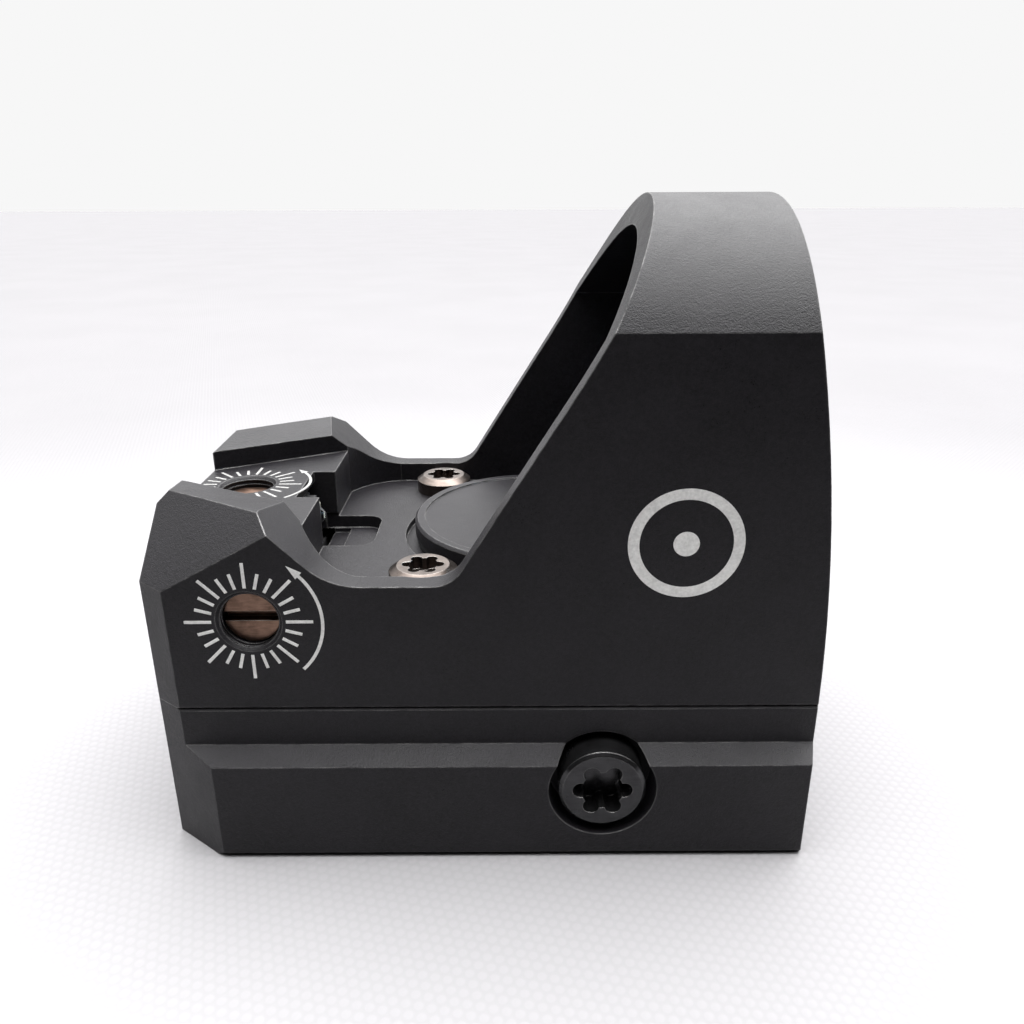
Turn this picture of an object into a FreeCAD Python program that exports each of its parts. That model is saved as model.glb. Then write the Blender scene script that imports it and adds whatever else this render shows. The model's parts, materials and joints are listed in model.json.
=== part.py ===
"""Micro reflex red dot sight on a low rail mount, built piece by piece.

Frame: +X towards the target, +Y to the shooter's left, +Z up.  The origin is
the centre of the footprint, on the underside of the mount's clamping jaws.
"""
import FreeCAD, Part
import Sketcher
import math
import os

Vec = FreeCAD.Vector
doc = FreeCAD.newDocument("RedDotSight")
sheet = doc.addObject("Spreadsheet::Sheet", "Dims")

SIZES = {
    # outline of the sight body
    "body_width": 27.0, "seam_level": 10.8, "rear_face": -22.6, "front_face": 22.6,
    "bow_radius": 50.6, "apex_level": 42.15, "crease_level": 34.9, "wall": 1.6,
    "corner_run": 1.8, "corner_in": 1.3,
    # rear sight ears, platform and valley
    "ear_level": 23.85, "ear_front": -14.8, "ear_bevel": 0.8, "notch_rear": 2.9,
    "notch_front": 9.1, "platform_level": 21.65, "platform_front": -13.0,
    "valley_level": 19.5, "valley_rear_fillet": 4.7, "valley_front_fillet": 2.2,
    "hood_foot": -2.9, "deck_level": 17.9,
    # hood and lens
    "hood_inner_apex": 40.1, "hood_inner_spring": 34.3, "lens_tilt": 7.4, "lens_seat": 17.4,
    "lens_half": 11.85, "lens_rear_thick": 1.25, "lens_front_thick": 1.5, "lens_gap": 0.3,
    # mount
    "mount_half": 15.0, "ledge_low": 7.3, "ledge_high": 8.05, "rail_seat": 6.4,
    "rail_half": 10.6, "rail_top_half": 7.835, "bar_top": 7.45, "bar_inner": 9.0,
    "cross_x": 6.75, "cross_level": 5.4, "cross_shank": 1.9, "cross_head": 2.875,
    "cross_head_tall": 2.5, "counterbore": 3.55, "rail_pitch": 10.01, "key_width": 5.0,
    # screws that hold the sight on the mount
    "deck_screw_x": -5.0, "deck_screw_y": 9.55, "deck_shank": 1.45, "deck_head": 2.28,
    "deck_head_tall": 1.4, "pin_radius": 0.95, "pin_y": 11.4,
    # adjusters
    "adjust_bore": 1.9, "adjust_body": 1.8, "adjust_neck": 0.7, "windage_x": -15.6,
    "windage_level": 17.15, "elevation_x": -19.0, "oring_wire": 0.25, "oring_mean": 1.6,
    # battery and cap
    "cap_x": 2.8, "cap_radius": 9.25, "cap_top": 19.35, "cell_radius": 8.0,
    "cell_low": 13.0, "cell_high": 16.2, "well_floor": 12.4,
    # brightness buttons on the left side
    "button_x": 3.3, "button_gap": 7.0, "button_level": 15.1, "button_radius": 1.9,
}
for row, (alias, size) in enumerate(SIZES.items(), start=1):
    sheet.set("A%d" % row, alias)
    sheet.set("B%d" % row, str(size))
    sheet.setAlias("B%d" % row, alias)
doc.recompute()


class Dim:
    """A length that knows its number and its spreadsheet expression."""

    def __init__(self, value, text):
        self.value, self.text = float(value), text

    def join(self, other, sign, value):
        other_text = other.text if isinstance(other, Dim) else repr(float(other))
        return Dim(value, "(%s %s %s)" % (self.text, sign, other_text))

    def __add__(self, other):
        return self.join(other, "+", self.value + num(other))

    def __sub__(self, other):
        return self.join(other, "-", self.value - num(other))

    def __mul__(self, other):
        return self.join(other, "*", self.value * num(other))

    def __neg__(self):
        return Dim(-self.value, "(0 - %s)" % self.text)


def num(size):
    return size.value if isinstance(size, Dim) else float(size)


def text(size):
    return size.text if isinstance(size, Dim) else repr(float(size))


def dim(alias):
    return Dim(SIZES[alias], "Dims." + alias)


def minus(first, second):
    """first - second, whichever of the two is a bound length."""
    if isinstance(first, Dim):
        return first - second
    return -(second - first) if isinstance(second, Dim) else first - second


half = dim("body_width") * 0.5
seam = dim("seam_level")
rear = dim("rear_face")
front = dim("front_face")
deck = dim("deck_level")
platform = dim("platform_level")
FACING = {"x": FreeCAD.Rotation(Vec(0, 1, 0), 90), "y": FreeCAD.Rotation(Vec(1, 0, 0), -90),
          "z": FreeCAD.Rotation()}


def place(obj, x, y, z, rotation=None):
    obj.Placement = FreeCAD.Placement(Vec(num(x), num(y), num(z)), rotation or FreeCAD.Rotation())
    for axis, size in (("x", x), ("y", y), ("z", z)):
        if isinstance(size, Dim):
            obj.setExpression("Placement.Base." + axis, size.text)
    return obj


def box(name, x, y, z):
    """A block from three (low, high) pairs."""
    obj = doc.addObject("Part::Box", name)
    for prop, pair in (("Length", x), ("Width", y), ("Height", z)):
        span = minus(pair[1], pair[0])
        setattr(obj, prop, num(span))
        if isinstance(span, Dim):
            obj.setExpression(prop, span.text)
    return place(obj, x[0], y[0], z[0])


def rod(name, axis, x, y, z, radius):
    """A cylinder along one axis; that axis takes a (low, high) pair."""
    spots = {"x": x, "y": y, "z": z}
    low, high = spots[axis]
    spots[axis] = low
    obj = doc.addObject("Part::Cylinder", name)
    obj.Radius, obj.Height = num(radius), num(minus(high, low))
    for prop, size in (("Radius", radius), ("Height", minus(high, low))):
        if isinstance(size, Dim):
            obj.setExpression(prop, size.text)
    return place(obj, spots["x"], spots["y"], spots["z"], FACING[axis])


def cone(name, axis, x, y, z, radius_low, radius_high):
    spots = {"x": x, "y": y, "z": z}
    low, high = spots[axis]
    spots[axis] = low
    obj = doc.addObject("Part::Cone", name)
    obj.Radius1, obj.Radius2 = num(radius_low), num(radius_high)
    obj.Height = num(minus(high, low))
    return place(obj, spots["x"], spots["y"], spots["z"], FACING[axis])


def torus(name, axis, x, y, z, mean, wire):
    obj = doc.addObject("Part::Torus", name)
    obj.Radius1, obj.Radius2 = num(mean), num(wire)
    for prop, size in (("Radius1", mean), ("Radius2", wire)):
        if isinstance(size, Dim):
            obj.setExpression(prop, size.text)
    return place(obj, x, y, z, FACING[axis])


def fuse(name, shapes):
    obj = doc.addObject("Part::MultiFuse", name)
    obj.Shapes = shapes
    return obj


def cut(name, base, tools):
    obj = doc.addObject("Part::Cut", name)
    obj.Base = base
    obj.Tool = tools[0] if len(tools) == 1 else fuse(name + "_tools", tools)
    return obj


def common(name, shapes):
    obj = doc.addObject("Part::MultiCommon", name)
    obj.Shapes = shapes
    return obj


def new_body(label):
    body = doc.addObject("PartDesign::Body", label)
    body.Label = label
    return body


def sketch(body, role, loops, offset=0.0):
    """A sketch whose corners are held by distances from the sketch's origin.

    A loop is a list of corners; a corner written (x, y, mid) starts an arc that
    passes through mid on its way to the next corner.
    """
    plane = [p for p in body.Origin.OriginFeatures if p.Role == role][0]
    sk = body.newObject("Sketcher::SketchObject", body.Name + "_sketch")
    sk.AttachmentSupport = (plane, [""])
    sk.MapMode = "FlatFace"
    sk.AttachmentOffset = FreeCAD.Placement(Vec(0, 0, offset), FreeCAD.Rotation())
    for loop in loops:
        first = sk.GeometryCount
        count = len(loop)
        starts = []
        for i, corner in enumerate(loop):
            nxt = loop[(i + 1) % count]
            a, b = Vec(num(corner[0]), num(corner[1]), 0), Vec(num(nxt[0]), num(nxt[1]), 0)
            if len(corner) == 3:
                mid = Vec(num(corner[2][0]), num(corner[2][1]), 0)
                clockwise = (mid - a).cross(b - mid).z < 0
                arc = Part.Arc(b, mid, a) if clockwise else Part.Arc(a, mid, b)
                index = sk.addGeometry(arc, False)
                starts.append((2, 1) if clockwise else (1, 2))
                sk.addConstraint(Sketcher.Constraint("Radius", index, sk.Geometry[index].Radius))
            else:
                index = sk.addGeometry(Part.LineSegment(a, b), False)
                starts.append((1, 2))
        for i in range(count):
            j = (i + 1) % count
            sk.addConstraint(Sketcher.Constraint("Coincident", first + i, starts[i][1],
                                                 first + j, starts[j][0]))
        for i, corner in enumerate(loop):
            for kind, size in (("DistanceX", corner[0]), ("DistanceY", corner[1])):
                if abs(num(size)) < 1e-9:
                    line = -2 if kind == "DistanceX" else -1
                    sk.addConstraint(Sketcher.Constraint("PointOnObject", first + i,
                                                         starts[i][0], line))
                    continue
                held = sk.addConstraint(Sketcher.Constraint(kind, -1, 1, first + i,
                                                            starts[i][0], num(size)))
                if isinstance(size, Dim):
                    sk.setExpression("Constraints[%d]" % held, size.text)
    return sk


def pad(body, sk, length, symmetric=False, reverse=False):
    obj = body.newObject("PartDesign::Pad", body.Name + "_pad")
    obj.Profile = sk
    obj.Length = num(length)
    if isinstance(length, Dim):
        obj.setExpression("Length", length.text)
    obj.SideType = "Symmetric" if symmetric else "One side"
    obj.Reversed = reverse
    doc.recompute()
    return obj


def pocket(body, sk, length=None, symmetric=False, reverse=False):
    """Cuts the sketch into the body and checks that something was removed."""
    before = body.Shape.Volume
    obj = body.newObject("PartDesign::Pocket", body.Name + "_pocket")
    obj.Profile = sk
    if length is None:
        obj.Type = "ThroughAll"
    else:
        obj.Length = num(length)
        if isinstance(length, Dim):
            obj.setExpression("Length", length.text)
    obj.SideType = "Symmetric" if symmetric else "One side"
    obj.Reversed = reverse
    doc.recompute()
    if body.Shape.Volume > before - 1e-6:
        raise ValueError("%s removes nothing" % obj.Name)
    return obj


def edge_names(shape, test):
    names = []
    for i, edge in enumerate(shape.Edges, start=1):
        if test(edge):
            names.append("Edge%d" % i)
    return names


def fillet(body, test, radius):
    base = body.Tip
    obj = body.newObject("PartDesign::Fillet", body.Name + "_fillet")
    obj.Base = (base, edge_names(base.Shape, test))
    obj.Radius = num(radius)
    if isinstance(radius, Dim):
        obj.setExpression("Radius", radius.text)
    doc.recompute()


def chamfer(body, test, size):
    base = body.Tip
    obj = body.newObject("PartDesign::Chamfer", body.Name + "_chamfer")
    obj.Base = (base, edge_names(base.Shape, test))
    obj.Size = size
    doc.recompute()


def at_level(level):
    return lambda e: abs(e.BoundBox.ZMin - num(level)) < 1e-4 and abs(e.BoundBox.ZMax - num(level)) < 1e-4


def across(x, z):
    """Edges that run along Y through the given point of the side view."""
    def test(e):
        b = e.BoundBox
        return (abs(b.XMin - num(x)) < 0.02 and abs(b.XMax - num(x)) < 0.02
                and abs(b.ZMin - num(z)) < 0.02 and abs(b.ZMax - num(z)) < 0.02)
    return test


def corner_triangle(side):
    """The plan corner cut: it starts inside the rear face and runs out past the side."""
    slope = SIZES["corner_in"] / SIZES["corner_run"]
    y0 = SIZES["body_width"] / 2 - SIZES["corner_in"]
    x0 = SIZES["rear_face"]
    far_y = 17.0
    return [(x0 - 1.4, side * (y0 - 1.4 * slope)), (x0 - 1.4, side * far_y),
            (x0 + (far_y - y0) / slope, side * far_y)]


def trim_plan(name, shape, leans):
    """Cuts the rear corners and bows the front with one revolved barrel."""
    barrel = new_body(name + "_barrel")
    reach = dim("bow_radius")
    top = 48.0
    if leans:
        r = SIZES["bow_radius"]
        back = 0.0045 * (top - num(seam)) ** 2
        mid = 0.0045 * (0.5 * (top - num(seam))) ** 2
        loop = [(0.0, -3.0), (reach, -3.0), (reach, seam, (r - mid, 0.5 * (top + num(seam)))),
                (r - back, top), (0.0, top)]
    else:
        loop = [(0.0, -3.0), (reach, -3.0), (reach, 14.0), (0.0, 14.0)]
    sk = sketch(barrel, "XZ_Plane", [loop])
    turn = barrel.newObject("PartDesign::Revolution", name + "_turn")
    turn.Profile = sk
    turn.ReferenceAxis = (sk, ["V_Axis"])
    turn.Angle = 360.0
    doc.recompute()
    place(barrel, front - dim("bow_radius"), 0.0, 0.0)
    bowed = common(name + "_bowed", [shape, barrel])
    corners = new_body(name + "_corners")
    pad(corners, sketch(corners, "XY_Plane", [corner_triangle(1), corner_triangle(-1)], -3.0), 52.0)
    return cut(name, bowed, [corners])


def six_lobe(name, axis, x, y, z, tip, depth):
    """Cutter for a six-lobe driver socket; the named axis takes (low, high)."""
    lobe = 0.14 * tip
    reach = tip / 2 - lobe
    parts = [rod(name + "_hub", axis, x, y, z, 0.355 * tip)]
    for k in range(6):
        angle = math.radians(60 * k)
        du, dv = reach * math.cos(angle), reach * math.sin(angle)
        if axis == "y":
            parts.append(rod(name + "_lobe%d" % k, axis, x + du, y, z + dv, lobe))
        else:
            parts.append(rod(name + "_lobe%d" % k, axis, x + du, y + dv, z, lobe))
    return fuse(name, parts)


def arch_body(label, half_width, low, spring, top, length):
    """A block extruded along X whose section has straight sides and an arched top."""
    body = new_body(label)
    loop = [(-num(half_width), low), (half_width, low), (half_width, spring, (0.0, top)),
            (-num(half_width), spring)]
    pad(body, sketch(body, "YZ_Plane", [loop]), length)
    return body


def tilted(obj, shift):
    """Puts a lens-frame object on the leaning lens seat, shift mm ahead of it."""
    lean = math.radians(SIZES["lens_tilt"])
    obj.Placement = FreeCAD.Placement(
        Vec(SIZES["lens_seat"] + shift * math.cos(lean), 0, SIZES["deck_level"] + shift * math.sin(lean)),
        FreeCAD.Rotation(Vec(0, 1, 0), -SIZES["lens_tilt"]))
    return obj


NODES = {}


def node(label, obj):
    obj.Label = label
    NODES[label] = obj
    return obj


# ---------------------------------------------------------------- mount
def mount_profile():
    """Section of the base: near jaw, rail seat, web and far overhang."""
    w, seat, top = dim("mount_half"), dim("rail_seat"), dim("rail_top_half")
    jaw = dim("rail_half") + 0.15
    return [(-num(jaw), 2.35), (-8.4, 0.0), (-(w - 0.4), 0.0), (-w, 0.4), (-w, dim("ledge_low")),
            (-half, dim("ledge_high")), (-half, seam), (half, seam), (half, dim("bar_top") + 0.1),
            (8.0, dim("bar_top") + 0.1), (8.0, seat), (-(top + 0.2), seat), (-jaw, 3.685)]


def make_mount():
    base = new_body("base_form")
    sk = sketch(base, "YZ_Plane", [mount_profile()], num(rear))
    pad(base, sk, minus(front, rear))
    chamfer(base, lambda e: at_level(seam)(e) and abs(abs(e.BoundBox.YMin) - num(half)) < 1e-4
            and e.BoundBox.YLength < 1e-4, 0.15)
    trimmed = trim_plan("base_trimmed", base, False)
    cx, cz = dim("cross_x"), dim("cross_level")
    key_x = cx - dim("rail_pitch") * 2.0
    key = box("recoil_key", (key_x - dim("key_width") * 0.5, key_x + dim("key_width") * 0.5),
              (-7.6, 7.6), (3.7, dim("rail_seat") + 0.2))
    solid = fuse("base_with_key", [trimmed, key])
    sx, sy = dim("deck_screw_x"), dim("deck_screw_y")
    tools = [rod("cross_bore", "y", cx, (-16.0, 16.0), cz, dim("cross_shank") + 0.3),
             rod("cross_counterbore", "y", cx, (-16.0, -12.4), cz, dim("counterbore"))]
    for side in (-1, 1):
        y = sy * float(side)
        tools.append(rod("deck_tap", "z", sx, y, (6.9, 11.0), dim("deck_shank") + 0.05))
        for x in (-17.6, 15.6):
            tools.append(rod("pin_seat", "z", x, dim("pin_y") * float(side), (9.0, 11.0),
                             dim("pin_radius") + 0.01))
    for x in (-12.0, 11.5):
        tools.append(box("guide_slot", (x - 2.1, x + 2.1), (9.1, 14.0),
                         (dim("bar_top"), dim("bar_top") + 1.4)))
    return node("mount_base", cut("mount_base", solid, tools))


def make_clamp():
    w, jaw = dim("mount_half"), dim("rail_half") + 0.2
    bar_top, inner = dim("bar_top"), dim("bar_inner")
    form = new_body("bar_form")
    loop = [(8.45, 0.0), (w - 0.4, 0.0), (w, 0.4), (w, dim("ledge_low")), (w - 0.15, bar_top),
            (inner, bar_top), (inner, 5.4), (jaw, 3.6), (jaw, 2.35)]
    pad(form, sketch(form, "YZ_Plane", [loop], num(rear)), minus(front, rear))
    trimmed = trim_plan("bar_trimmed", form, False)
    ribs = [box("guide_rib", (x - 2.0, x + 2.0), (9.4, 13.3), (bar_top - 0.3, bar_top + 1.2))
            for x in (-12.0, 11.5)]
    solid = fuse("bar_with_ribs", [trimmed] + ribs)
    cx, cz = dim("cross_x"), dim("cross_level")
    tap = rod("bar_tap", "y", cx, (8.0, 16.0), cz, dim("cross_shank") + 0.1)
    mouth = cone("bar_mouth", "y", cx, (14.6, 15.1), cz, 2.0, 2.5)
    node("clamp_bar", cut("clamp_bar", solid, [tap, mouth]))

    tall = dim("cross_head_tall")
    head = rod("cross_head_disc", "y", cx, (-14.8, -w + tall), cz, dim("cross_head"))
    rim = cone("cross_head_rim", "y", cx, (-w, -14.8), cz, SIZES["cross_head"] - 0.25,
               SIZES["cross_head"])
    shank = rod("cross_shank", "y", cx, (-12.9, 14.2), cz, dim("cross_shank"))
    tip = cone("cross_tip", "y", cx, (14.2, 14.6), cz, SIZES["cross_shank"], 1.5)
    socket = six_lobe("cross_socket", "y", cx, (-15.2, -13.3), cz, 3.94, 1.6)
    bolt = fuse("cross_bolt", [head, rim, shank, tip])
    node("clamp_screw", cut("clamp_screw", bolt, [socket]))


def make_fasteners():
    sx, sy, tall = dim("deck_screw_x"), dim("deck_screw_y"), dim("deck_head_tall")
    solids, pins = [], []
    for side in (-1, 1):
        y = sy * float(side)
        head = rod("deck_head", "z", sx, y, (deck, deck + tall - 0.4), dim("deck_head"))
        crown = cone("deck_crown", "z", sx, y, (deck + tall - 0.4, deck + tall),
                     SIZES["deck_head"], SIZES["deck_head"] - 0.55)
        shank = rod("deck_shank", "z", sx, y, (7.9, deck + 0.2), dim("deck_shank"))
        socket = six_lobe("deck_socket", "z", sx, y, (deck + 0.5, deck + tall + 0.2), 2.8, 0.9)
        solids.append(cut("deck_screw", fuse("deck_bolt", [head, crown, shank]), [socket]))
        for x in (-17.6, 15.6):
            pins.append(rod("pin", "z", x, dim("pin_y") * float(side), (9.05, 12.0),
                            dim("pin_radius")))
    node("mounting_screws", compound("mounting_screws", solids))
    node("locating_pins", compound("locating_pins", pins))


def compound(name, parts):
    obj = doc.addObject("Part::Compound", name)
    obj.Links = parts
    return obj


# -------------------------------------------------------------- housing
def housing_profile():
    """Side view of the sight body: ears, valley, and the hood's leaning rear rim."""
    ear, bevel = dim("ear_level"), dim("ear_bevel")
    valley = dim("valley_level")
    slope_x = dim("ear_front") + ear - valley
    return [(rear, seam), (rear, ear - bevel), (rear + bevel, ear), (dim("ear_front"), ear),
            (slope_x, valley), (dim("hood_foot"), valley), (4.2, 30.8, (7.35, 36.3)),
            (10.05, dim("apex_level")), (front + 1.0, dim("apex_level")), (front + 1.0, seam)]


def hood_roof():
    """Everything above the hood's arched roof, as a section looking along X."""
    crease, w = dim("crease_level"), SIZES["body_width"] / 2
    return [(16.0, crease), (16.0, 46.0), (-16.0, 46.0), (-16.0, crease),
            (-w, crease, (0.0, SIZES["apex_level"])), (half, crease)]


def ear_notch():
    """Plan of the sighting notch between the ears; it widens towards the target."""
    r, f = dim("notch_rear"), dim("notch_front")
    return [(rear - 1.0, -r), (dim("platform_front") + 4.0, -(f + 1.8)),
            (dim("platform_front") + 4.0, f + 1.8), (rear - 1.0, r)]


def deck_outline():
    """Plan of the recessed deck between the rims, with its rounded rear corners."""
    w = SIZES["body_width"] / 2 - SIZES["wall"]
    x0, x1 = SIZES["platform_front"], 16.0
    return [(x1, w), (x0 + 4.2, w, (x0 + 1.7, w - 1.0)), (x0, w - 3.1),
            (x0, -(w - 3.1), (x0 + 1.7, -(w - 1.0))), (x0 + 4.2, -w), (x1, -w)]


def plane_cutter(name, a, along, across, wide, side):
    """Block that planes off one ear above a slanting face; left is the mirror of right."""
    normal = along.cross(across)
    along.normalize()
    normal.normalize()
    if normal.z < 0:
        normal = normal * -1.0
    inward = normal.cross(along)
    corner = a - along * 3.0 - inward * 3.0
    block = doc.addObject("Part::Box", name)
    block.Length, block.Width, block.Height = 13.0, wide, 9.0
    turn = FreeCAD.Rotation(along, inward, normal, "XZY")
    block.Placement = FreeCAD.Placement(corner, turn)
    if side < 0:
        return block
    flip = doc.addObject("Part::Mirroring", name + "_left")
    flip.Source = block
    flip.Normal = Vec(0, 1, 0)
    flip.Base = Vec(0, 0, 0)
    return flip


def ear_cutters(side):
    """Outer rear corner facet of one ear, and its top, which slopes in towards the notch."""
    return [plane_cutter("ear_facet", Vec(-20.8, -13.5, 19.25), Vec(6.87, 0, 3.70),
                         Vec(-1.1, 6.15, 4.65), 16.0, side),
            plane_cutter("ear_slope", Vec(-21.79, -7.68, 23.85), Vec(6.69, -3.6, 0),
                         Vec(1.521, 2.827, -0.65), 9.0, side)]


def hollow_hood():
    """Inside of the hood up to the web that carries the lens."""
    w = half - dim("wall")
    inside = arch_body("hood_inside", w, deck, dim("hood_inner_spring"),
                       SIZES["hood_inner_apex"], 31.0)
    place(inside, -13.0 + 4.0, 0.0, 0.0)
    stop = doc.addObject("Part::Box", "hood_stop")
    stop.Length, stop.Width, stop.Height = 20.0, 40.0, 40.0
    lean = FreeCAD.Rotation(Vec(0, 1, 0), -SIZES["lens_tilt"])
    stop.Placement = FreeCAD.Placement(Vec(SIZES["lens_seat"] - 1.2, -20, 17.9 - 6.0), lean)
    return cut("hood_hollow", inside, [stop])


def housing_cutters():
    cx, cz = dim("cap_x"), dim("well_floor")
    wx, wz, bore = dim("windage_x"), dim("windage_level"), dim("adjust_bore")
    ex = dim("elevation_x")
    tools = [hollow_hood()]
    tools.append(tilted(arch_body("lens_pocket", 12.15, 0.5, 16.7, 22.5, 9.0), 0.0))
    tools.append(tilted(arch_body("lens_window", 11.0, 1.7, 16.0, 21.2, 6.0), -3.0))
    # battery well: cap recess, threaded mouth, cell pocket, contact slot
    tools += [rod("cap_recess", "z", cx, 0.0, (deck - 0.5, deck + 0.6), 10.0),
              rod("cap_thread", "z", cx, 0.0, (cell_top(), deck), 8.95),
              rod("cell_pocket", "z", cx, 0.0, (cz, deck), dim("cell_radius") + 0.25),
              box("contact_slot", (-8.6, -4.0), (-2.2, 2.2), (cz, cz + 0.9))]
    # emitter opening in the platform's front face and the relief ahead of it
    tools += [box("emitter_gap", (-16.75, -12.0), (-3.0, 3.0), (16.5, platform - 0.8)),
              box("emitter_mouth", (-14.7, -12.0), (-3.0, 3.0), (platform - 1.0, 24.5)),
              rounded_block("beam_relief", -14.0, -9.4, 3.1, 16.9, 18.2, 1.3)]
    # adjuster bores
    tools += [rod("windage_bore", "y", wx, (-14.0, -9.2), wz, bore),
              rod("windage_neck_bore", "y", wx, (-9.3, -2.9), wz, 1.1),
              cone("windage_rim", "y", wx, (-13.55, -13.3), wz, 2.15, 1.9),
              rod("elevation_bore", "z", ex, 0.0, (17.6, 22.0), bore),
              rod("elevation_neck_bore", "z", ex, 0.0, (16.4, 17.7), 1.1),
              cone("elevation_rim", "z", ex, 0.0, (platform - 0.2, platform + 0.05), 1.9, 2.15)]
    # mechanism and electronics space under the platform, opened from below
    tools += [box("plate_recess", (-21.4, -7.4), (-10.0, 10.0), (10.5, seam + 0.9)),
              box("board_space", (-20.9, -8.0), (-7.9, 7.9), (10.5, 13.55)),
              box("slide_space", (-20.9, -13.4), (-6.6, 6.6), (13.0, 16.85))]
    sx, sy = dim("deck_screw_x"), dim("deck_screw_y")
    for side in (-1, 1):
        y = sy * float(side)
        tools.append(rod("deck_clearance", "z", sx, y, (10.0, 19.0), dim("deck_shank") + 0.2))
        tools.append(rod("deck_head_room", "z", sx, y, (deck, 19.5), dim("deck_head") + 0.25))
        for x in (-17.6, 15.6):
            tools.append(rod("pin_hole", "z", x, dim("pin_y") * float(side), (10.0, 12.3),
                             dim("pin_radius") + 0.06))
        for x in (-20.2, -8.6):
            tools.append(rod("plate_tap", "z", x, 8.9 * side, (11.0, 14.2), 0.6))
    # keypad pocket on the left side
    bx, bz = dim("button_x"), dim("button_level")
    mid = bx + dim("button_gap") * 0.5
    tools += [box("keypad_pocket", (mid - 6.85, mid + 6.85), (12.4, 14.0), (bz - 2.6, bz + 2.6)),
              box("switch_pocket", (mid - 6.2, mid + 6.2), (11.2, 14.0), (bz - 2.4, bz + 2.4))]
    return tools


def cell_top():
    return dim("cell_high") + 0.15


def rounded_block(name, x0, x1, half_y, z0, z1, radius):
    body = new_body(name)
    r = radius
    k = r * (1 - math.sqrt(0.5))
    loop = [(x0, -half_y), (x1 - r, -half_y, (x1 - k, -half_y + k)), (x1, -half_y + r),
            (x1, half_y - r, (x1 - k, half_y - k)), (x1 - r, half_y), (x0, half_y)]
    pad(body, sketch(body, "XY_Plane", [loop], z0), z1 - z0)
    return body


def make_housing():
    form = new_body("housing_form")
    pad(form, sketch(form, "XZ_Plane", [housing_profile()]), dim("body_width"), symmetric=True)
    valley = SIZES["valley_level"]
    slope_x = SIZES["ear_front"] + SIZES["ear_level"] - valley
    fillet(form, across(slope_x, valley), dim("valley_rear_fillet"))
    fillet(form, across(SIZES["hood_foot"], valley), dim("valley_front_fillet"))
    chamfer(form, lambda e: at_level(seam)(e) and e.BoundBox.YLength < 1e-4, 0.15)
    pocket(form, sketch(form, "YZ_Plane", [hood_roof()]), symmetric=True)
    pocket(form, sketch(form, "XY_Plane", [ear_notch()], SIZES["platform_level"]), 6.0, reverse=True)
    pocket(form, sketch(form, "XY_Plane", [deck_outline()], SIZES["deck_level"]), 8.0, reverse=True)
    trimmed = trim_plan("housing_trimmed", form, True)
    tools = housing_cutters() + ear_cutters(-1) + ear_cutters(1)
    return node("housing", cut("housing", trimmed, tools))


# ----------------------------------------------------------------- lens
def make_lens():
    thick_r, thick_f = SIZES["lens_rear_thick"], SIZES["lens_front_thick"]
    w = dim("lens_half")
    node("lens_rear", tilted(arch_body("lens_rear", w, 0.8, 16.6, 22.2, dim("lens_rear_thick")), 0.0))
    node("lens_front", tilted(arch_body("lens_front", w, 0.8, 16.6, 22.2, dim("lens_front_thick")),
                              thick_r))
    outer = arch_body("seal_outer", w + 0.28, 0.52, 16.68, 22.46, 2.2)
    inner = arch_body("seal_inner", w, 0.8, 16.6, 22.2, 4.0)
    place(inner, -1.0, 0.0, 0.0)
    node("lens_seal", tilted(cut("lens_seal", outer, [inner]), 0.0))


# ------------------------------------------------------------ adjusters
def make_adjuster(label, axis, x, y, z, length_in, neck_end, head_depth):
    """Slotted adjusting screw with a seal groove; (y or z) is the outer face level.

    The windage screw enters along +Y, the elevation screw along -Z.
    """
    inward = 1.0 if axis == "y" else -1.0
    face = y if axis == "y" else z

    def span(a, b):
        lo, hi = face + inward * a, face + inward * b
        return (min(lo, hi), max(lo, hi))

    def piece(kind, a, b, radius):
        args = [kind, axis, x, y, z, radius]
        args[3 if axis == "y" else 4] = span(a, b)
        return rod(*args)

    top, end = head_depth, head_depth + length_in
    groove_a, groove_b = top + 1.2, top + 1.9
    body = fuse(label + "_body", [
        piece(label + "_head", top, groove_a, dim("adjust_body")),
        piece(label + "_groove", groove_a - 0.1, groove_b + 0.1, 1.3),
        piece(label + "_thread", groove_b, end, dim("adjust_body")),
        piece(label + "_neck", end - 0.1, neck_end, dim("adjust_neck"))])
    s0, s1 = span(top - 0.2, top + 0.65)
    if axis == "y":
        slot = box(label + "_slot", (x - 3.0, x + 3.0), (s0, s1), (z - 0.32, z + 0.32))
    else:
        slot = box(label + "_slot", (x - 3.0, x + 3.0), (y - 0.32, y + 0.32), (s0, s1))
    node(label, cut(label, body, [slot]))
    mid = face + inward * (groove_a + groove_b) / 2
    ring = {"x": x, "y": y, "z": z}
    ring[axis] = mid
    return torus(label + "_ring", axis, ring["x"], ring["y"], ring["z"], dim("oring_mean"),
                 dim("oring_wire"))


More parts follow.
